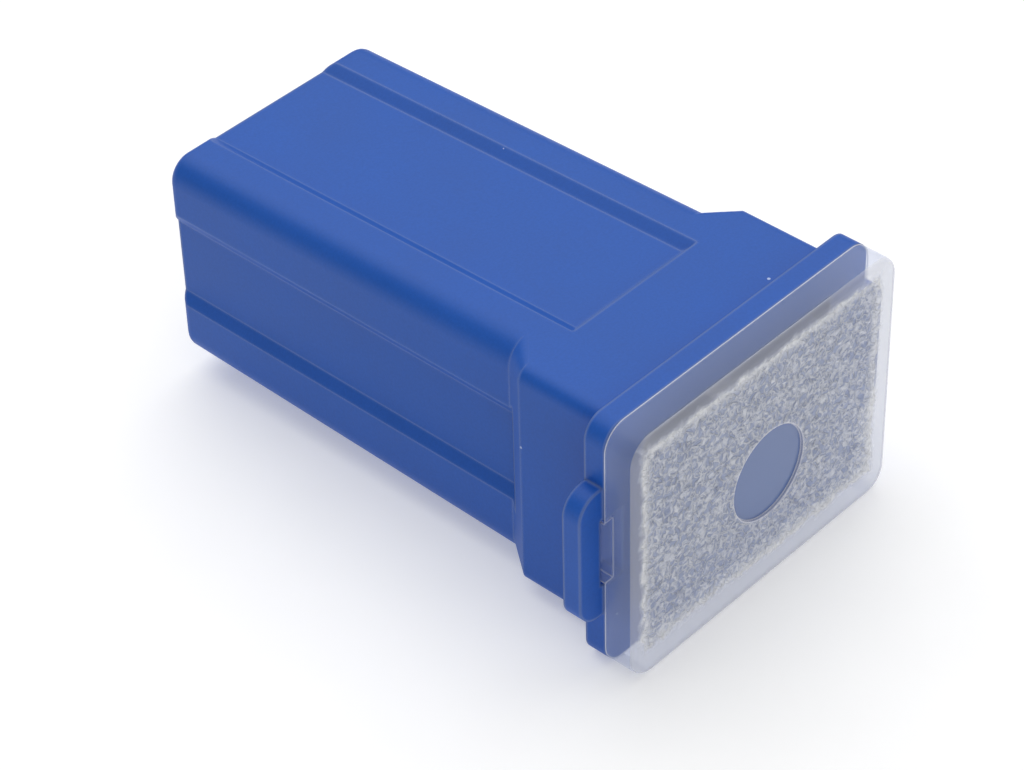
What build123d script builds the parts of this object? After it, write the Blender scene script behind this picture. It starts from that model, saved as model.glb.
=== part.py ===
"""Female cartridge fuse: a moulded housing, a clear clip-on cover, and a folded fuse element with its tin pellet.

The fuse lies on one wide side, as it rests on a table. Its length runs along Y: the clear cover faces -Y and
the two blade sockets open at +Y. X is the wide way across and Z is up. The origin is on the table, under the
middle of the fuse. Depths are measured from the cover's outer face towards the socket end. Millimetres.
"""

import os
from math import atan2, cos, sin, tan

from build123d import *

# ---- Overall -----------------------------------------------------------------------------------------------
length = 26.7  # cover face to socket end
cover_width = 15.5
cover_height = 11.9
cover_thickness = 1.5
cover_corner = 1.1
cover_edge = 0.3  # rounding of the cover's front edge
fit = 0.1  # clearance between pieces that slide into each other

# ---- Housing: flange, head and body, each stepped in from the one before --------------------------------------
cover_overhang = 0.05
flange_thickness = 1.0
flange_corner = 0.9
head_side_step = 1.0  # flange edge to head, at the narrow sides
head_top_step = 0.5  # the same, at the wide sides
head_length = 4.15
head_corner = 0.6
shoulder_side = 0.85  # head to body, at the narrow sides
shoulder_length = 1.25  # of the slope between them
body_draft = 0.45  # taper of each wide side, head to socket end
body_corner = 1.1
body_wall = 1.1  # at the socket end
end_edge = 0.4  # rounding of the housing's socket end

# Shallow panels sunk into all four sides of the body, which leave a rail at each corner.
panel_sink = 0.32
panel_slope = 0.55  # width of the sloping edge
top_panel_floor = 6.2
side_panel_floor = 3.6
top_panel_end_gap = 0.3  # head to the end of the wide sides' panels
panel_clear = 0.2  # start of the cut, off the surface
end_clear = 1.0

# ---- Housing: inside -------------------------------------------------------------------------------------------
chamber_wall = 1.1  # round the link chamber in the head
chamber_depth = 4.5
partition = 0.9  # between the two terminal cells
partition_set_back = 8.0  # cover seat to the partition's front edge
mouth_lip_height = 0.45  # stops the terminals at the socket end
mouth_lip_length = 1.4
mouth_lead = 0.35  # chamfer round each mouth
catch_height = 0.45  # nub that holds each terminal by its window
catch_length = 1.9
catch_width = 1.5
catch_ramp = 1.2
catch_from_end = 9.2

# ---- Latch ears on the narrow sides, and the cover's legs that snap through them ----------------------------------
ear_reach = 1.25  # beyond the cover's edge
ear_half_height = 3.15
ear_corner = 1.0
ear_front_gap = 0.1
ear_thickness = 0.85
leg_width = 3.0
leg_thickness = 0.55
hook_reach = 0.7
hook_flat = 0.25
hook_lead = 0.2  # sloping nose beyond the flat
hook_play = 0.1
slot_side_play = 0.15

# ---- Cover ----------------------------------------------------------------------------------------------------
skirt_depth = 0.8
skirt_wall = 0.7
window_radius = 2.1  # smooth round window in the grained face
window_sink = 0.12

# ---- Fuse element: one strip of copper alloy, stamped and folded -----------------------------------------------------
sheet = 0.4
terminal_length = 13.0
terminal_side_play = 0.25
blade_gap = 0.85  # between plate and rolled edges, for a tab 0.8 thick
roll_radius = 0.95  # outside of each rolled spring edge
roll_leg = 0.3  # straight end of the roll, which bears on the tab
roll_set_back = 1.5  # front of the terminal to the front of its rolled edges
link_width = 3.0
link_set_back = 2.7  # cover seat to the link's face
link_bend = 1.2
neck_width = 1.1
neck_length = 1.5
seat_width = 2.5  # of the link under the pellet
tab_thickness = 0.3
tab_length = 1.2
tab_gap = 0.5

# ---- Tin pellet ----------------------------------------------------------------------------------------------------
pellet_length = 1.9
pellet_height = 1.1
pellet_edge = 0.3
pellet_play = 0.05

# ---- Worked-out places -----------------------------------------------------------------------------------------------
mid_z = cover_height / 2
flange_width = cover_width - 2 * cover_overhang
flange_height = cover_height - 2 * cover_overhang
head_width = flange_width - 2 * head_side_step
head_height = flange_height - 2 * head_top_step
body_width = head_width - 2 * shoulder_side
end_height = head_height - 2 * body_draft
seat_depth = cover_thickness
head_depth = seat_depth + flange_thickness
shoulder_depth = head_depth + head_length
body_depth = shoulder_depth + shoulder_length
draft = atan2(body_draft, length - shoulder_depth)
body_height = head_height - 2 * shoulder_length * tan(draft)

chamber_width = head_width - 2 * chamber_wall
chamber_height = head_height - 2 * chamber_wall
cavity_width = body_width - 2 * body_wall
cavity_height = end_height - 2 * body_wall
partition_depth = seat_depth + partition_set_back
lip_depth = length - mouth_lip_length
catch_depth = length - catch_from_end

ear_width = cover_width + 2 * ear_reach
ear_depth = seat_depth + ear_front_gap
leg_outer = cover_width / 2
leg_inner = leg_outer - leg_thickness
slot_outer = leg_outer + fit
slot_inner = head_width / 2
hook_depth = ear_depth + ear_thickness + hook_play

terminal_outer = cavity_width / 2 - fit
terminal_half = cavity_height / 2 - terminal_side_play
terminal_end = lip_depth - fit
terminal_depth = terminal_end - terminal_length
roll_height = sheet + blade_gap + roll_leg
roll_centre = terminal_half - roll_radius
roll_end = terminal_half - 2 * roll_radius + sheet / 2
link_depth = seat_depth + link_set_back
neck_centre = seat_width / 2 + neck_length / 2
pellet_half = seat_width / 2 - tab_thickness - pellet_play
pellet_depth = link_depth - pellet_height


def section(depth):
    """Plane across the fuse at a depth, with its own x along X and its own y along Z."""
    return Plane((0, depth - length / 2, mid_z), x_dir=(1, 0, 0), z_dir=(0, -1, 0))


def y_at(depth):
    """Y of a depth."""
    return depth - length / 2


os.makedirs("parts", exist_ok=True)

# ---- Housing ------------------------------------------------------------------------------------------------------
with BuildPart() as housing:
    # The body: a shoulder that slopes in from the head, then a drafted length.
    with BuildSketch(section(shoulder_depth)):
        RectangleRounded(head_width, head_height, head_corner)
    with BuildSketch(section(body_depth)):
        RectangleRounded(body_width, body_height, body_corner)
    loft(ruled=True)
    with BuildSketch(section(body_depth)):
        RectangleRounded(body_width, body_height, body_corner)
    with BuildSketch(section(length)):
        RectangleRounded(body_width, end_height, body_corner)
    loft(ruled=True)
    fillet(housing.faces().sort_by(Axis.Y)[-1].edges(), end_edge)

    # Sunk panels, each cut from a plane that lies on its drafted side, with the origin at the socket end.
    top_run = length - shoulder_depth - top_panel_end_gap
    side_run = length - body_depth + panel_slope
    for turn in (1, -1):
        top_side = Plane(
            (0, y_at(length), mid_z + turn * end_height / 2),
            x_dir=(turn, 0, 0),
            z_dir=(0, sin(draft), turn * cos(draft)),
        )
        narrow_side = Plane(
            (turn * body_width / 2, y_at(length), mid_z),
            x_dir=(0, 0, -turn),
            z_dir=(turn, 0, 0),
        )
        for side, floor, run in (
            (top_side, top_panel_floor, top_run),
            (narrow_side, side_panel_floor, side_run),
        ):
            clear_slope = panel_slope * (1 + panel_clear / panel_sink)
            for sink, slope in ((-panel_clear, clear_slope), (panel_sink, 0)):
                with BuildSketch(side.offset(-sink)):
                    with Locations((0, (end_clear - slope - run) / 2)):
                        Rectangle(floor + 2 * slope, run + end_clear + slope)
            loft(mode=Mode.SUBTRACT)

    # The head and its flange.
    with BuildSketch(section(head_depth)):
        RectangleRounded(head_width, head_height, head_corner)
    extrude(amount=-head_length)
    with BuildSketch(section(seat_depth)):
        RectangleRounded(flange_width, flange_height, flange_corner)
    extrude(amount=-flange_thickness)

    # Latch ears.
    with BuildSketch(section(ear_depth)) as ear_sketch:
        for side in (-1, 1):
            ear_run = (ear_width - head_width) / 2 + fit
            with Locations((side * (ear_width - ear_run) / 2, 0)):
                Rectangle(ear_run, 2 * ear_half_height)
        outer_corners = ear_sketch.vertices().filter_by(lambda v: abs(v.X) > cover_width / 2)
        fillet(outer_corners, ear_corner)
    extrude(amount=-ear_thickness)

    # Slots for the cover's legs, between each ear and the head.
    slot_width = slot_outer - slot_inner
    with BuildSketch(section(seat_depth)):
        with Locations(
            ((slot_inner + slot_outer) / 2, 0), (-(slot_inner + slot_outer) / 2, 0)
        ):
            Rectangle(slot_width, leg_width + 2 * slot_side_play)
    extrude(amount=-flange_thickness, mode=Mode.SUBTRACT)

    # Link chamber, terminal cells and the partition between them.
    with BuildSketch(section(seat_depth)):
        RectangleRounded(chamber_width, chamber_height, head_corner / 2)
    extrude(amount=-chamber_depth, mode=Mode.SUBTRACT)
    with BuildSketch(section(seat_depth)):
        Rectangle(cavity_width, cavity_height)
    extrude(amount=seat_depth - length, mode=Mode.SUBTRACT)
    with BuildSketch(section(partition_depth)):
        Rectangle(partition, cavity_height)
    extrude(amount=partition_depth - length)

    # Lips at the mouths, and the catches that the terminals' windows snap over.
    for side in (-1, 1):
        wall = side * cavity_width / 2
        with BuildSketch(section(lip_depth)):
            with Locations((wall - side * mouth_lip_height / 2, 0)):
                Rectangle(mouth_lip_height, cavity_height)
        extrude(amount=-mouth_lip_length)
        with BuildSketch(Plane.XY.offset(mid_z - catch_width / 2)):
            front = y_at(catch_depth)
            tip = wall - side * catch_height
            with BuildLine():
                Polyline(
                    (wall, front),
                    (tip, front + catch_ramp),
                    (tip, front + catch_length),
                    (wall, front + catch_length),
                    close=True,
                )
            make_face()
        extrude(amount=catch_width)
    mouth = housing.faces().filter_by(Axis.Y).sort_by(Axis.Y)[-1]
    chamfer([e for wire in mouth.inner_wires() for e in wire.edges()], mouth_lead)

housing.part.label = "housing"

# ---- Clear cover ----------------------------------------------------------------------------------------------------
with BuildPart() as cover:
    with BuildSketch(section(0)):
        RectangleRounded(cover_width, cover_height, cover_corner)
    extrude(amount=-cover_thickness)
    fillet(cover.faces().sort_by(Axis.Y)[0].edges(), cover_edge)
    with BuildSketch(section(0)):
        Circle(window_radius)
    extrude(amount=-window_sink, mode=Mode.SUBTRACT)

    # Skirt that locates the cover in the chamber's mouth.
    with BuildSketch(section(seat_depth)):
        RectangleRounded(chamber_width - 2 * fit, chamber_height - 2 * fit, head_corner / 2 - fit)
        Rectangle(
            chamber_width - 2 * (fit + skirt_wall),
            chamber_height - 2 * (fit + skirt_wall),
            mode=Mode.SUBTRACT,
        )
    extrude(amount=-skirt_depth)

    # Hooked legs.
    with BuildSketch(Plane.XY.offset(mid_z - leg_width / 2)):
        for side in (-1, 1):
            hook_end = y_at(hook_depth + hook_flat)
            leg_end = y_at(hook_depth + hook_flat + hook_lead)
            with BuildLine():
                Polyline(
                    (side * leg_inner, y_at(seat_depth)),
                    (side * leg_outer, y_at(seat_depth)),
                    (side * leg_outer, y_at(hook_depth)),
                    (side * (leg_outer + hook_reach), y_at(hook_depth)),
                    (side * (leg_outer + hook_reach), hook_end),
                    (side * leg_outer, leg_end),
                    (side * leg_inner, leg_end),
                    close=True,
                )
            make_face()
    extrude(amount=leg_width)

cover.part.label = "cover"

# ---- Fuse element ----------------------------------------------------------------------------------------------------
with BuildPart() as fuse_element:
    # The link: a U-shaped strip whose legs run back to the two terminals.
    with BuildSketch(Plane.XY.offset(mid_z - link_width / 2)):
        leg_run = terminal_depth - link_depth
        with Locations((0, y_at(link_depth) + leg_run / 2)):
            outside = Rectangle(2 * terminal_outer, leg_run)
        fillet(outside.vertices().group_by(Axis.Y)[0], link_bend)
        with Locations((0, y_at(link_depth) + sheet + leg_run / 2)):
            Rectangle(2 * (terminal_outer - sheet), leg_run, mode=Mode.SUBTRACT)
    extrude(amount=link_width)
    inner_corners = (
        fuse_element.edges()
        .filter_by(Axis.Z)
        .filter_by(lambda e: abs(e.center().Y - y_at(link_depth) - sheet) < fit)
    )
    fillet(inner_corners, link_bend - sheet)

    # Narrow necks each side of the pellet's seat, and the seat's own width.
    with BuildSketch(section(link_depth)):
        for side in (-1, 1):
            for up in (-1, 1):
                notch = (link_width - neck_width) / 2
                with Locations((side * neck_centre, up * (neck_width + notch) / 2)):
                    Rectangle(neck_length, notch)
        trim = (link_width - seat_width) / 2
        with Locations((0, (seat_width + trim) / 2), (0, -(seat_width + trim) / 2)):
            Rectangle(seat_width, trim)
    extrude(amount=-sheet, mode=Mode.SUBTRACT)

    # Terminals: a flat plate whose long edges are rolled over into springs.
    for side in (-1, 1):
        with BuildSketch(Plane.YZ.offset(side * terminal_outer)):
            with BuildLine():
                Polyline(
                    (y_at(terminal_depth), mid_z - link_width / 2),
                    (y_at(terminal_depth + roll_set_back), mid_z - terminal_half),
                    (y_at(terminal_depth + roll_set_back), mid_z + terminal_half),
                    (y_at(terminal_depth), mid_z + link_width / 2),
                    close=True,
                )
            make_face()
        extrude(amount=-side * sheet)
        with BuildSketch(section(terminal_depth + roll_set_back)) as terminal_sketch:
            roll_x = side * (terminal_outer - roll_height)
            with Locations((roll_x, roll_centre), (roll_x, -roll_centre)):
                Circle(roll_radius)
                Circle(roll_radius - sheet, mode=Mode.SUBTRACT)
            with Locations((side * (terminal_outer - roll_height / 2), 0)):
                Rectangle(roll_height, 2 * terminal_half, mode=Mode.SUBTRACT)
                Rectangle(roll_height, 2 * terminal_half)
                Rectangle(roll_height, 2 * (terminal_half - sheet), mode=Mode.SUBTRACT)
            with Locations((side * (terminal_outer - sheet / 2), 0)):
                Rectangle(sheet, 2 * terminal_half)
            leg_x = roll_x + side * roll_leg / 2
            with Locations((leg_x, roll_end), (leg_x, -roll_end)):
                Rectangle(roll_leg, sheet)
            bends = terminal_sketch.vertices().filter_by(
                lambda v: abs(abs(v.X) - terminal_outer) < fit / 2
            )
            fillet(bends, sheet)
        extrude(amount=roll_set_back - terminal_length)

        # Window for the housing's catch.
        with BuildSketch(Plane.YZ.offset(side * terminal_outer)):
            with Locations((y_at(catch_depth + catch_length / 2), mid_z)):
                Rectangle(catch_length + 2 * fit, catch_width + 2 * fit)
        extrude(amount=-side * sheet, mode=Mode.SUBTRACT)

    # Tabs folded round the pellet.
    with BuildSketch(Plane.YZ.offset(-tab_length / 2)):
        wall_centre = seat_width / 2 - tab_thickness / 2
        fold_top = pellet_depth - pellet_play - tab_thickness
        wall_run = link_depth - fold_top
        fold_run = (seat_width - tab_gap) / 2
        for up in (-1, 1):
            with Locations((y_at(fold_top) + wall_run / 2, mid_z + up * wall_centre)):
                Rectangle(wall_run, tab_thickness)
            with Locations(
                (y_at(fold_top) + tab_thickness / 2, mid_z + up * (seat_width - fold_run) / 2)
            ):
                Rectangle(tab_thickness, fold_run)
    extrude(amount=tab_length)

fuse_element.part.label = "fuse_element"

# ---- Tin pellet ------------------------------------------------------------------------------------------------------
with BuildPart() as tin_pellet:
    with BuildSketch(section(pellet_depth)):
        Rectangle(pellet_length, 2 * pellet_half)
    extrude(amount=-pellet_height)
    fillet(tin_pellet.faces().sort_by(Axis.Y)[0].edges(), pellet_edge)

tin_pellet.part.label = "tin_pellet"

# ---- Files -------------------------------------------------------------------------------------------------------------
for piece in (housing, cover, fuse_element, tin_pellet):
    export_step(piece.part, f"parts/{piece.part.label}.step")
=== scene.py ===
import math

import bmesh
import bpy
from mathutils import Matrix, Vector, noise


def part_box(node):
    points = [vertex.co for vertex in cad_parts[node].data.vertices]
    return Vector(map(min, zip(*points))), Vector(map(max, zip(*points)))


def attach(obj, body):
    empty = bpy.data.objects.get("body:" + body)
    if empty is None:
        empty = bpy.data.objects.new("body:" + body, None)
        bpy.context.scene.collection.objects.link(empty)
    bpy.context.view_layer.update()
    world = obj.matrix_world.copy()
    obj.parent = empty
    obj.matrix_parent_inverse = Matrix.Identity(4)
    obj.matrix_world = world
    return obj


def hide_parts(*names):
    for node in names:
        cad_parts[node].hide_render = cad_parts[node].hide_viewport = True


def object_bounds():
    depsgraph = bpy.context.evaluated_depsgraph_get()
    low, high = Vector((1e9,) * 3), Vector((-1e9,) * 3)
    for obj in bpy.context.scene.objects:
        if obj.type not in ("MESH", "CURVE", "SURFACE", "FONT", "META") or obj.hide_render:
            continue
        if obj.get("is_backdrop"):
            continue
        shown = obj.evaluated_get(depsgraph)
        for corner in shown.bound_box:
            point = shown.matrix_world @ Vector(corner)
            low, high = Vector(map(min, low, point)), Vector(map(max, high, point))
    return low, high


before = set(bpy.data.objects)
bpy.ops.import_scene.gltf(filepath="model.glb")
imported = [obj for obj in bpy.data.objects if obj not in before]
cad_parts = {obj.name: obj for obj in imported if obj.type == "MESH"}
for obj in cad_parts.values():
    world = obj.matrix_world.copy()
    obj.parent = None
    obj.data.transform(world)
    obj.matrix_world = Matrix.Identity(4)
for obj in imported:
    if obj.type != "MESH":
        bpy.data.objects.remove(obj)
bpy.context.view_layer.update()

# ---- Housing -----------------------------------------------------------------------------------
# One moulding in glass-filled blue polyester: flange, head, ribbed body and latch ears.
# The mould leaves a fine satin skin, slightly uneven in tone, with rounded arrises and a few
# bright specks of filler.

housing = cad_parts["housing"]

polyester = bpy.data.materials.new("blue_polyester")
polyester.use_nodes = True
nodes = polyester.node_tree.nodes
links = polyester.node_tree.links
skin = nodes["Principled BSDF"]
skin.inputs["IOR"].default_value = 1.50
skin.inputs["Specular IOR Level"].default_value = 0.30
place = nodes.new("ShaderNodeTexCoord")

# Broad cloudy change of tone, as the melt leaves it.
cloud = nodes.new("ShaderNodeTexNoise")
cloud.inputs["Scale"].default_value = 260.0
cloud.inputs["Detail"].default_value = 3.0
links.new(place.outputs["Object"], cloud.inputs["Vector"])
blue = nodes.new("ShaderNodeValToRGB")
blue.color_ramp.elements[0].position = 0.3
blue.color_ramp.elements[0].color = (0.0075, 0.087, 0.420, 1)
blue.color_ramp.elements[1].position = 0.7
blue.color_ramp.elements[1].color = (0.0105, 0.096, 0.455, 1)
links.new(cloud.outputs["Fac"], blue.inputs["Fac"])

# Fine mottling at the scale of the mould's spark-eroded skin.
grit = nodes.new("ShaderNodeTexNoise")
grit.inputs["Scale"].default_value = 9000.0
grit.inputs["Detail"].default_value = 2.0
links.new(place.outputs["Object"], grit.inputs["Vector"])
mottle = nodes.new("ShaderNodeMix")
mottle.data_type = "RGBA"
mottle.blend_type = "OVERLAY"
mottle.inputs["Factor"].default_value = 0.12
links.new(blue.outputs["Color"], mottle.inputs["A"])
links.new(grit.outputs["Fac"], mottle.inputs["B"])

# Bright specks of filler, few and far between.
speck_cells = nodes.new("ShaderNodeTexVoronoi")
speck_cells.inputs["Scale"].default_value = 480.0
links.new(place.outputs["Object"], speck_cells.inputs["Vector"])
speck_size = nodes.new("ShaderNodeMath")
speck_size.operation = "LESS_THAN"
speck_size.inputs[1].default_value = 0.035
links.new(speck_cells.outputs["Distance"], speck_size.inputs[0])
speck_pick = nodes.new("ShaderNodeSeparateColor")
links.new(speck_cells.outputs["Color"], speck_pick.inputs["Color"])
speck_rare = nodes.new("ShaderNodeMath")
speck_rare.operation = "GREATER_THAN"
speck_rare.inputs[1].default_value = 0.62
links.new(speck_pick.outputs["Red"], speck_rare.inputs[0])
speck = nodes.new("ShaderNodeMath")
speck.operation = "MULTIPLY"
links.new(speck_size.outputs["Value"], speck.inputs[0])
links.new(speck_rare.outputs["Value"], speck.inputs[1])
specked = nodes.new("ShaderNodeMix")
specked.data_type = "RGBA"
specked.inputs["B"].default_value = (0.45, 0.55, 0.8, 1)
links.new(speck.outputs["Value"], specked.inputs["Factor"])
links.new(mottle.outputs["Result"], specked.inputs["A"])

# Painted highlight: a pale line is painted along the edges and the feet of the sunk panels, where
# the rounded arrises catch the light.
arris = nodes.new("ShaderNodeBevel")
arris.samples = 8
arris.inputs["Radius"].default_value = 0.00020
shape = nodes.new("ShaderNodeNewGeometry")
agree = nodes.new("ShaderNodeVectorMath")
agree.operation = "DOT_PRODUCT"
links.new(arris.outputs["Normal"], agree.inputs[0])
links.new(shape.outputs["Normal"], agree.inputs[1])
painted_edge_highlight = nodes.new("ShaderNodeMapRange")
painted_edge_highlight.inputs["From Min"].default_value = 0.9995
painted_edge_highlight.inputs["From Max"].default_value = 0.968
painted_edge_highlight.inputs["To Min"].default_value = 0.0
painted_edge_highlight.inputs["To Max"].default_value = 0.38
links.new(agree.outputs["Value"], painted_edge_highlight.inputs["Value"])
# Mix the painted edge highlight's paler blue into the colour.
edge_highlight_colour = nodes.new("ShaderNodeMix")
edge_highlight_colour.data_type = "RGBA"
edge_highlight_colour.inputs["B"].default_value = (0.24, 0.32, 0.56, 1)
links.new(painted_edge_highlight.outputs["Result"], edge_highlight_colour.inputs["Factor"])
links.new(specked.outputs["Result"], edge_highlight_colour.inputs["A"])
links.new(edge_highlight_colour.outputs["Result"], skin.inputs["Base Color"])

# Satin gloss that varies a little over the faces.
gloss = nodes.new("ShaderNodeMapRange")
gloss.inputs["To Min"].default_value = 0.40
gloss.inputs["To Max"].default_value = 0.52
links.new(cloud.outputs["Fac"], gloss.inputs["Value"])
links.new(gloss.outputs["Result"], skin.inputs["Roughness"])

# Rounded arrises under a very fine grain.
grain = nodes.new("ShaderNodeBump")
grain.inputs["Strength"].default_value = 0.12
grain.inputs["Distance"].default_value = 0.00002
links.new(grit.outputs["Fac"], grain.inputs["Height"])
links.new(arris.outputs["Normal"], grain.inputs["Normal"])
links.new(grain.outputs["Normal"], skin.inputs["Normal"])

housing.data.materials.clear()
housing.data.materials.append(polyester)

# ---- Fuse element ------------------------------------------------------------------------------
# A strip of copper alloy, stamped, folded into two blade sockets and a link, and tin-plated.
# The plating is pale and fairly bright, with faint rolling lines along the strip.

fuse_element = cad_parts["fuse_element"]

tinplate = bpy.data.materials.new("tinned_copper_alloy")
tinplate.use_nodes = True
nodes = tinplate.node_tree.nodes
links = tinplate.node_tree.links
metal = nodes["Principled BSDF"]
metal.inputs["Metallic"].default_value = 1.0
place = nodes.new("ShaderNodeTexCoord")
rolled = nodes.new("ShaderNodeMapping")
rolled.inputs["Scale"].default_value = (6000, 400, 6000)
links.new(place.outputs["Object"], rolled.inputs["Vector"])
lines = nodes.new("ShaderNodeTexNoise")
lines.inputs["Scale"].default_value = 1.0
lines.inputs["Detail"].default_value = 4.0
links.new(rolled.outputs["Vector"], lines.inputs["Vector"])
plating = nodes.new("ShaderNodeValToRGB")
plating.color_ramp.elements[0].color = (0.50, 0.47, 0.42, 1)
plating.color_ramp.elements[1].color = (0.72, 0.70, 0.66, 1)
links.new(lines.outputs["Fac"], plating.inputs["Fac"])
links.new(plating.outputs["Color"], metal.inputs["Base Color"])
sheen = nodes.new("ShaderNodeMapRange")
sheen.inputs["To Min"].default_value = 0.24
sheen.inputs["To Max"].default_value = 0.42
links.new(lines.outputs["Fac"], sheen.inputs["Value"])
links.new(sheen.outputs["Result"], metal.inputs["Roughness"])
score = nodes.new("ShaderNodeBump")
score.inputs["Strength"].default_value = 0.2
score.inputs["Distance"].default_value = 0.00002
links.new(lines.outputs["Fac"], score.inputs["Height"])
links.new(score.outputs["Normal"], metal.inputs["Normal"])

fuse_element.data.materials.clear()
fuse_element.data.materials.append(tinplate)

# ---- Tin pellet --------------------------------------------------------------------------------
# A small slug of tin that the link's tabs are folded over. It is cast, so it is dull and a
# little dimpled.

tin_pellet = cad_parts["tin_pellet"]

cast_tin = bpy.data.materials.new("cast_tin")
cast_tin.use_nodes = True
nodes = cast_tin.node_tree.nodes
links = cast_tin.node_tree.links
metal = nodes["Principled BSDF"]
metal.inputs["Metallic"].default_value = 1.0
place = nodes.new("ShaderNodeTexCoord")
dimples = nodes.new("ShaderNodeTexNoise")
dimples.inputs["Scale"].default_value = 3000.0
dimples.inputs["Detail"].default_value = 3.0
links.new(place.outputs["Object"], dimples.inputs["Vector"])
tin_tone = nodes.new("ShaderNodeValToRGB")
tin_tone.color_ramp.elements[0].color = (0.38, 0.38, 0.37, 1)
tin_tone.color_ramp.elements[1].color = (0.58, 0.58, 0.56, 1)
links.new(dimples.outputs["Fac"], tin_tone.inputs["Fac"])
links.new(tin_tone.outputs["Color"], metal.inputs["Base Color"])
dullness = nodes.new("ShaderNodeMapRange")
dullness.inputs["To Min"].default_value = 0.45
dullness.inputs["To Max"].default_value = 0.65
links.new(dimples.outputs["Fac"], dullness.inputs["Value"])
links.new(dullness.outputs["Result"], metal.inputs["Roughness"])
pits = nodes.new("ShaderNodeBump")
pits.inputs["Strength"].default_value = 0.5
pits.inputs["Distance"].default_value = 0.00004
links.new(dimples.outputs["Fac"], pits.inputs["Height"])
links.new(pits.outputs["Normal"], metal.inputs["Normal"])

tin_pellet.data.materials.clear()
tin_pellet.data.materials.append(cast_tin)

# ---- Clear cover -------------------------------------------------------------------------------
# An injection-moulded lid in clear polycarbonate: a plate with a grained face and a smooth round
# window, a skirt that drops into the housing's mouth, and two legs whose hooks clip behind the
# ears.

cover_low, cover_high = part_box("cover")
plate_half_width = 0.00775
plate_thickness = 0.0015
plate_corner = 0.0011
plate_edge = 0.0003
middle_height = (cover_low.z + cover_high.z) / 2
plate_half_height = (cover_high.z - cover_low.z) / 2
front_y = cover_low.y
air_gap = 0.00002
seat_y = front_y + plate_thickness - air_gap
skirt_half_x = 0.0055
skirt_half_z = 0.0042
skirt_wall = 0.0007
skirt_depth = 0.0008
leg_half_width = 0.0015
leg_thickness = 0.00055
leg_inner = plate_half_width - leg_thickness
hook_reach = cover_high.x - plate_half_width
hook_back = cover_high.y
hook_length = 0.00045
hook_front = hook_back - hook_length
hook_slope = 0.0002
field_half_x = 0.0072
field_half_z = 0.0054
grain_x, grain_half_x = -0.00030, 0.00718
grain_z, grain_half_z = 0.00042, 0.00522
net_cuts = 14
grain_depth = 0.00010
worm_size = 0.00042
rim_rag = 0.00035
rag_pitch = 900
rag_swing = 2.2
rim_inset = 0.0002
rim_fade = 0.0003
white_rim = 0.0008
window_x = 0.0001
window_z = -0.00035
window_radius = 0.0021
window_rim = 0.0001
window_sink = 0.00012
touching = 1e-6


def pick_faces(mesh_object, wanted):
    """Select only the faces that the test accepts."""
    edit = bmesh.from_edit_mesh(mesh_object.data)
    edit.select_mode = {"FACE"}
    bpy.context.tool_settings.mesh_select_mode = (False, False, True)
    for face in edit.faces:
        face.select_set(False)
    for face in edit.faces:
        if wanted(face):
            face.select_set(True)
    edit.select_flush_mode()
    bmesh.update_edit_mesh(mesh_object.data)


def pick_edges(mesh_object, wanted):
    """Select only the edges that the test accepts."""
    edit = bmesh.from_edit_mesh(mesh_object.data)
    edit.select_mode = {"EDGE"}
    bpy.context.tool_settings.mesh_select_mode = (False, True, False)
    for part in (edit.faces, edit.edges, edit.verts):
        for item in part:
            item.select_set(False)
    for edge in edit.edges:
        if wanted(edge):
            edge.select_set(True)
    bmesh.update_edit_mesh(mesh_object.data)


def middle(edge):
    """Midpoint of an edge."""
    return (edge.verts[0].co + edge.verts[1].co) / 2


bpy.ops.object.select_all(action="DESELECT")
bpy.ops.mesh.primitive_cube_add(size=1, location=(0, (front_y + seat_y) / 2, middle_height))
cover = bpy.context.object
cover.name = "clear_cover"
cover.scale = (2 * plate_half_width, seat_y - front_y, 2 * plate_half_height)
bpy.ops.object.transform_apply(location=True, rotation=True, scale=True)
bpy.ops.object.mode_set(mode="EDIT")

# Round the plate's four corners, then its front edge.
pick_edges(cover, lambda e: abs(e.verts[0].co.y - e.verts[1].co.y) > plate_thickness / 2)
bpy.ops.mesh.bevel(offset=plate_corner, segments=8)
pick_edges(cover, lambda e: all(abs(v.co.y - front_y) < touching for v in e.verts))
bpy.ops.mesh.bevel(offset=plate_edge, segments=4)

# Mark out the skirt and the legs on the back face.
for direction, distances in (
    ((1, 0, 0), (leg_inner, skirt_half_x, skirt_half_x - skirt_wall)),
    ((0, 0, 1), (leg_half_width, skirt_half_z, skirt_half_z - skirt_wall)),
):
    for distance in distances:
        for side in (-1, 1):
            pick_faces(cover, lambda f: all(abs(v.co.y - seat_y) < touching for v in f.verts))
            shift = Vector(direction) * distance * side
            bpy.ops.mesh.bisect(
                plane_co=Vector((0, 0, middle_height)) + shift, plane_no=direction
            )


def on_back(face):
    """True on the plate's back face."""
    return all(abs(v.co.y - seat_y) < touching for v in face.verts)


def in_skirt(face):
    """True inside the skirt's ring."""
    x = abs(face.calc_center_median().x)
    z = abs(face.calc_center_median().z - middle_height)
    inside = x < skirt_half_x and z < skirt_half_z
    hollow = x < skirt_half_x - skirt_wall and z < skirt_half_z - skirt_wall
    return on_back(face) and inside and not hollow


def in_leg(face):
    """True at the root of a leg."""
    x = abs(face.calc_center_median().x)
    z = abs(face.calc_center_median().z - middle_height)
    return on_back(face) and x > leg_inner and z < leg_half_width


pick_faces(cover, in_skirt)
bpy.ops.mesh.extrude_region_move(TRANSFORM_OT_translate={"value": (0, skirt_depth, 0)})

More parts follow.
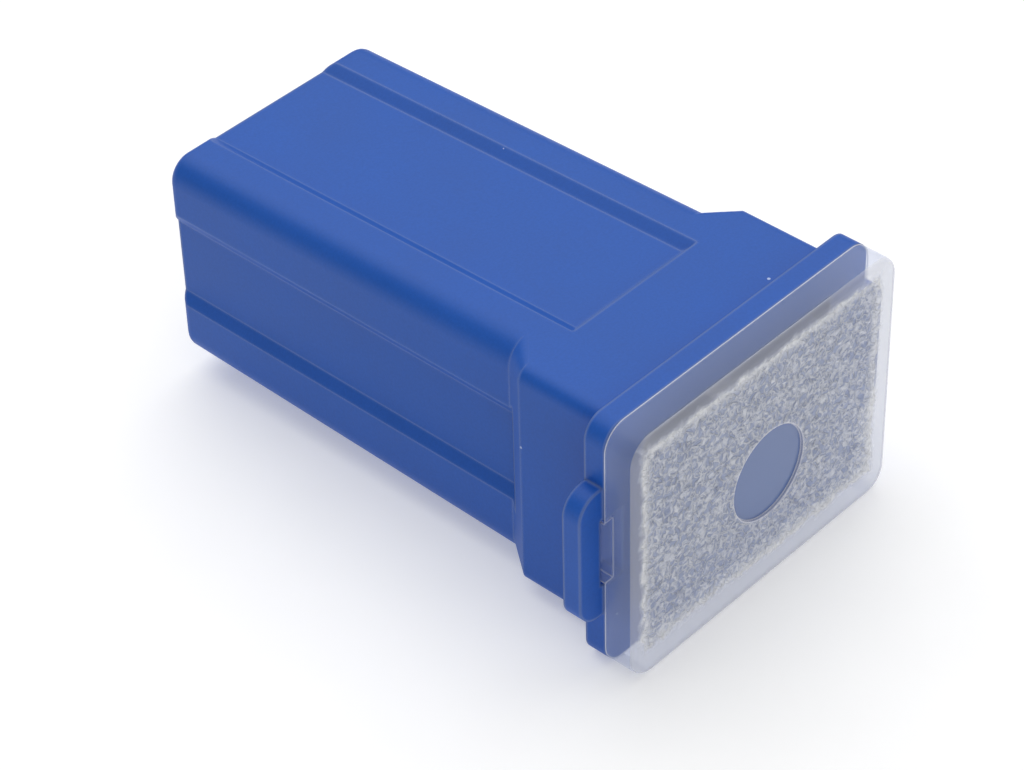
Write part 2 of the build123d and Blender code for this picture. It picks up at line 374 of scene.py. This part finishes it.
# Draw out both legs in two runs, pull the hooks out sideways, and slope their noses.
pick_faces(cover, in_leg)
for run in (hook_front - seat_y, hook_back - hook_front):
    bpy.ops.mesh.extrude_region_move(TRANSFORM_OT_translate={"value": (0, run, 0)})
for side in (-1, 1):
    pick_faces(
        cover,
        lambda f: f.normal.x * side > 0.9
        and f.calc_center_median().x * side > plate_half_width - touching
        and hook_front < f.calc_center_median().y < hook_back,
    )
    bpy.ops.mesh.extrude_region_move(TRANSFORM_OT_translate={"value": (side * hook_reach, 0, 0)})
    pick_edges(
        cover,
        lambda e: middle(e).x * side > plate_half_width + hook_reach * 0.9
        and all(abs(v.co.y - hook_back) < touching for v in e.verts),
    )
    bpy.ops.mesh.bevel(offset=hook_slope, segments=3)

# Mark out the grained field on the front and divide it into a fine net.
for direction, distance in (((1, 0, 0), field_half_x), ((0, 0, 1), field_half_z)):
    for side in (-1, 1):
        pick_faces(cover, lambda f: all(abs(v.co.y - front_y) < touching for v in f.verts))
        bpy.ops.mesh.bisect(
            plane_co=Vector((0, 0, middle_height)) + Vector(direction) * distance * side,
            plane_no=direction,
        )


def in_field(face):
    """True on the front, inside the grained field."""
    centre = face.calc_center_median()
    flat = all(abs(v.co.y - front_y) < touching for v in face.verts)
    return flat and abs(centre.x) < field_half_x and abs(centre.z - middle_height) < field_half_z


for _ in range(2):
    pick_faces(cover, in_field)
    bpy.ops.mesh.subdivide(number_cuts=net_cuts, smoothness=0)
bpy.ops.mesh.select_all(action="SELECT")
bpy.ops.mesh.remove_doubles(threshold=touching)
bpy.ops.mesh.normals_make_consistent(inside=False)
bpy.ops.object.mode_set(mode="OBJECT")

# The grain is sunk into the field, fading out in a ragged line near the rim.
grain_group = cover.vertex_groups.new(name="grain")
for vertex in cover.data.vertices:
    x, z = vertex.co.x, vertex.co.z - middle_height
    if abs(vertex.co.y - front_y) > touching:
        continue
    rag = rim_rag * noise.noise(Vector((x, 0, z)) * rag_pitch)
    inset = min(grain_half_x - abs(x - grain_x), grain_half_z - abs(z - grain_z))
    inset = inset - rim_inset + rag
    inset = min(inset, field_half_x - abs(x), field_half_z - abs(z))
    off_rim = math.hypot(x - window_x, z - window_z) - window_radius - window_rim
    weight = max(0.0, min(1.0, inset / rim_fade, off_rim / window_rim))
    grain_group.add([vertex.index], weight, "REPLACE")
worm = bpy.data.textures.new("cover_grain", type="CLOUDS")
worm.noise_type = "HARD_NOISE"
worm.noise_basis = "ORIGINAL_PERLIN"
worm.noise_scale = worm_size
worm.noise_depth = 0
worm.contrast = 1.6
sink = cover.modifiers.new("grain", "DISPLACE")
sink.texture = worm
sink.texture_coords = "LOCAL"
sink.direction = "Y"
sink.vertex_group = "grain"
sink.mid_level = -0.3
sink.strength = grain_depth
bpy.context.view_layer.objects.active = cover
bpy.ops.object.modifier_apply(modifier="grain")

# The round window is cut in after the grain, as a shallow recess with a flat floor.
bpy.ops.object.select_all(action="DESELECT")
bpy.ops.mesh.primitive_cylinder_add(
    vertices=96,
    radius=window_radius,
    depth=4 * window_sink,
    location=(window_x, front_y - window_sink, middle_height + window_z),
    rotation=(math.pi / 2, 0, 0),
)
window_cutter = bpy.context.object
bpy.ops.object.mode_set(mode="EDIT")
bpy.ops.mesh.select_all(action="SELECT")
bpy.ops.mesh.normals_make_consistent(inside=False)
bpy.ops.object.mode_set(mode="OBJECT")
bpy.ops.object.select_all(action="DESELECT")
cut = cover.modifiers.new("window", "BOOLEAN")
cut.operation = "DIFFERENCE"
cut.solver = "EXACT"
cut.object = window_cutter
bpy.context.view_layer.objects.active = cover
bpy.ops.object.modifier_apply(modifier="window")
bpy.data.objects.remove(window_cutter)

cover.select_set(True)
bpy.ops.object.shade_smooth_by_angle(angle=math.radians(40))

# Clear polycarbonate. The margins and the window are smooth, the field is frosted, and the grain
# is whitest along its ragged rim.
polycarbonate = bpy.data.materials.new("clear_polycarbonate")
polycarbonate.use_nodes = True
nodes = polycarbonate.node_tree.nodes
links = polycarbonate.node_tree.links
clear = nodes["Principled BSDF"]
clear.inputs["IOR"].default_value = 1.585
place = nodes.new("ShaderNodeTexCoord")


def number(operation, first, second):
    """One arithmetic step between two sockets or numbers."""
    step = nodes.new("ShaderNodeMath")
    step.operation = operation
    for socket, value in zip(step.inputs, (first, second)):
        if isinstance(value, (int, float)):
            socket.default_value = value
        else:
            links.new(value, socket)
    return step.outputs["Value"]


apart = nodes.new("ShaderNodeSeparateXYZ")
links.new(place.outputs["Object"], apart.inputs["Vector"])
across = number("ABSOLUTE", number("SUBTRACT", apart.outputs["X"], grain_x), 0)
upright = number("ABSOLUTE", number("SUBTRACT", apart.outputs["Z"], middle_height + grain_z), 0)
rag_noise = nodes.new("ShaderNodeTexNoise")
rag_noise.inputs["Scale"].default_value = 1700.0
rag_noise.inputs["Detail"].default_value = 4.0
links.new(place.outputs["Object"], rag_noise.inputs["Vector"])
rag = number("MULTIPLY", number("SUBTRACT", rag_noise.outputs["Fac"], 0.5), rag_swing * rim_rag)
from_side = number("SUBTRACT", grain_half_x, across)
from_top = number("SUBTRACT", grain_half_z, upright)
depth_in = number("ADD", number("MINIMUM", from_side, from_top), rag)
front_only = number("LESS_THAN", apart.outputs["Y"], front_y + 2 * window_sink)


def ramp(source, low, high, first, last):
    """A straight ramp, held at both ends."""
    step = nodes.new("ShaderNodeMapRange")
    step.inputs["From Min"].default_value = low
    step.inputs["From Max"].default_value = high
    step.inputs["To Min"].default_value = first
    step.inputs["To Max"].default_value = last
    links.new(source, step.inputs["Value"])
    return step.outputs["Result"]


window_centre = nodes.new("ShaderNodeCombineXYZ")
window_centre.inputs["X"].default_value = window_x
window_centre.inputs["Y"].default_value = 0.0
window_centre.inputs["Z"].default_value = middle_height + window_z
flattened = nodes.new("ShaderNodeVectorMath")
flattened.operation = "MULTIPLY"
flattened.inputs[1].default_value = (1, 0, 1)
links.new(place.outputs["Object"], flattened.inputs[0])
from_window = nodes.new("ShaderNodeVectorMath")
from_window.operation = "DISTANCE"
links.new(flattened.outputs["Vector"], from_window.inputs[0])
links.new(window_centre.outputs["Vector"], from_window.inputs[1])
off_window = number("GREATER_THAN", from_window.outputs["Value"], window_radius)
field = number("MULTIPLY", ramp(depth_in, 0.0, rim_fade, 0, 1), front_only)
frosted = number("MULTIPLY", field, off_window)
whiter = number("MULTIPLY", ramp(depth_in, rim_fade, white_rim, 1, 0), frosted)
rim_white = number("MULTIPLY", whiter, ramp(rag_noise.outputs["Fac"], 0.25, 0.6, 0.5, 1))

# Painted highlight: edges are painted whiter and more milky, on the margins and round the window
# but not among the grain.
arris = nodes.new("ShaderNodeBevel")
arris.samples = 8
arris.inputs["Radius"].default_value = 0.00013
shape = nodes.new("ShaderNodeNewGeometry")
agree = nodes.new("ShaderNodeVectorMath")
agree.operation = "DOT_PRODUCT"
links.new(arris.outputs["Normal"], agree.inputs[0])
links.new(shape.outputs["Normal"], agree.inputs[1])
inside_rim = number("LESS_THAN", from_window.outputs["Value"], window_radius + window_rim)
outside_rim = number("GREATER_THAN", from_window.outputs["Value"], window_radius - window_rim)
on_rim = number("MULTIPLY", inside_rim, outside_rim)
edge_place = number("MAXIMUM", number("SUBTRACT", 1.0, field), on_rim)
edge = number("MULTIPLY", ramp(agree.outputs["Value"], 0.998, 0.90, 0, 1), edge_place)

# How much of each spot is milky rather than see-through.
side_milk, front_milk = 0.24, 0.42
field_milk, edge_highlight_milk = 0.48, 0.55
margin_milk = ramp(front_only, 0, 1, side_milk, front_milk)
milky = number("ADD", number("MULTIPLY", field, field_milk), number("MULTIPLY", edge, edge_highlight_milk))
milky = number("MINIMUM", number("ADD", milky, margin_milk), 1.0)
links.new(milky, clear.inputs["Alpha"])
links.new(ramp(frosted, 0, 1, 0.16, 0.34), clear.inputs["Roughness"])


def blend(amount, first, second):
    """A colour between two others, by a socket's amount."""
    step = nodes.new("ShaderNodeMix")
    step.data_type = "RGBA"
    links.new(amount, step.inputs["Factor"])
    for socket, value in ((step.inputs["A"], first), (step.inputs["B"], second)):
        if isinstance(value, tuple):
            socket.default_value = value
        else:
            links.new(value, socket)
    return step.outputs["Result"]


# The colour of the milk: pale ridges over a blue-grey ground, whiter at the rim, a painted flat
# blue-grey in the window that stands in for the shaded blue housing seen through it, and a
# painted blue on the side faces for the blue housing seen through the clear plastic.
crinkle = nodes.new("ShaderNodeTexNoise")
crinkle.inputs["Scale"].default_value = 3300.0
crinkle.inputs["Detail"].default_value = 2.0
crinkle.inputs["Distortion"].default_value = 0.7
links.new(place.outputs["Object"], crinkle.inputs["Vector"])
off_ridge = number("ABSOLUTE", number("SUBTRACT", crinkle.outputs["Fac"], 0.5), 0)
ridge = ramp(off_ridge, 0.0, 0.12, 1, 0)
grain_colour = blend(ridge, (0.35, 0.40, 0.57, 1), (0.76, 0.78, 0.85, 1))
grain_colour = blend(rim_white, grain_colour, (0.88, 0.89, 0.92, 1))
# Painted shade: the window's blue-grey stands in for the shaded housing behind it.
milk = blend(off_window, (0.145, 0.215, 0.44, 1), grain_colour)
# Painted reflection: the side faces are a strong blue for the blue housing seen through them, and
# the front margins are a pale grey-blue.
margin_colour = blend(front_only, (0.46, 0.57, 0.90, 1), (0.68, 0.71, 0.82, 1))
body_colour = blend(field, margin_colour, milk)
# The edges take a pale painted highlight colour.
links.new(blend(edge, body_colour, (0.74, 0.75, 0.84, 1)), clear.inputs["Base Color"])

# The ridges stand up a little in the frosted field.
crinkle_bump = nodes.new("ShaderNodeBump")
crinkle_bump.inputs["Distance"].default_value = 0.00005
links.new(frosted, crinkle_bump.inputs["Strength"])
links.new(ridge, crinkle_bump.inputs["Height"])
links.new(crinkle_bump.outputs["Normal"], clear.inputs["Normal"])
cover.data.materials.clear()
cover.data.materials.append(polycarbonate)

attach(cover, "root")
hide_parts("cover")

# ---- Floor -------------------------------------------------------------------------------------
# A broad sheet of white paper for the part to lie on, level with its underside. It is matt, with
# a faint tooth, and bright enough to read as a plain white ground.

bpy.ops.object.select_all(action="DESELECT")
bpy.ops.mesh.primitive_grid_add(x_subdivisions=4, y_subdivisions=4, size=1.6, location=(0, 0, 0))
floor = bpy.context.object
floor.name = "floor"
paper = bpy.data.materials.new("white_paper")
paper.use_nodes = True
nodes = paper.node_tree.nodes
links = paper.node_tree.links
sheet = nodes["Principled BSDF"]
sheet.inputs["Roughness"].default_value = 0.9
sheet.inputs["Specular IOR Level"].default_value = 0.1
place = nodes.new("ShaderNodeTexCoord")
tooth = nodes.new("ShaderNodeTexNoise")
tooth.inputs["Scale"].default_value = 300.0
links.new(place.outputs["Object"], tooth.inputs["Vector"])
white = nodes.new("ShaderNodeValToRGB")
white.color_ramp.elements[0].color = (0.78, 0.78, 0.78, 1)
white.color_ramp.elements[1].color = (0.80, 0.80, 0.80, 1)
links.new(tooth.outputs["Fac"], white.inputs["Fac"])
links.new(white.outputs["Color"], sheet.inputs["Base Color"])
links.new(white.outputs["Color"], sheet.inputs["Emission Color"])
sheet.inputs["Emission Strength"].default_value = 0.42
floor.data.materials.append(paper)
floor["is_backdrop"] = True

# ---- Light and camera --------------------------------------------------------------------------
# A white room, a broad soft box overhead and behind, and a weaker one from the front left.
# The camera is a long lens well above the part, looking down on the clear cover.

part_low, part_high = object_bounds()
part_middle = Vector((0, 0, (part_low[2] + part_high[2]) / 2))

room = bpy.data.worlds.new("white_room")
room.use_nodes = True
room.node_tree.nodes["Background"].inputs["Color"].default_value = (1, 1, 1, 1)
room.node_tree.nodes["Background"].inputs["Strength"].default_value = 0.32
bpy.context.scene.world = room

for name, place_at, width, strength in (
    ("soft_box_behind", (0.10, 0.13, 0.34), 0.55, 1.5),
    ("soft_box_front", (-0.08, -0.33, 0.20), 0.30, 0.22),
):
    lamp = bpy.data.lights.new(name, "AREA")
    lamp.shape = "SQUARE"
    lamp.size = width
    lamp.energy = strength
    box = bpy.data.objects.new(name, lamp)
    box.location = place_at
    box.rotation_euler = (part_middle - Vector(place_at)).to_track_quat("-Z", "Y").to_euler()
    bpy.context.collection.objects.link(box)

turn, lift, tilt = math.radians(-46.52), math.radians(40.0), math.radians(-1.67)
backward = Vector(
    (math.sin(turn) * math.cos(lift), -math.cos(turn) * math.cos(lift), math.sin(lift))
)
rightward = Vector((math.cos(turn), math.sin(turn), 0))
upward = backward.cross(rightward)
frame_right = rightward * math.cos(tilt) + upward * math.sin(tilt)
frame_up = upward * math.cos(tilt) - rightward * math.sin(tilt)
lens = bpy.data.cameras.new("long_lens")
lens.sensor_width = 36
lens.sensor_fit = "HORIZONTAL"
lens.lens = 117.48
lens.clip_start = 0.005
camera = bpy.data.objects.new("camera", lens)
stand_off = Vector((-0.075951, -0.072065, 0.084614))
turned = Matrix((frame_right, frame_up, backward)).transposed().to_4x4()
turned.translation = part_middle + stand_off
camera.matrix_world = turned
bpy.context.collection.objects.link(camera)
bpy.context.scene.camera = camera
bpy.context.scene.view_settings.view_transform = "Standard"
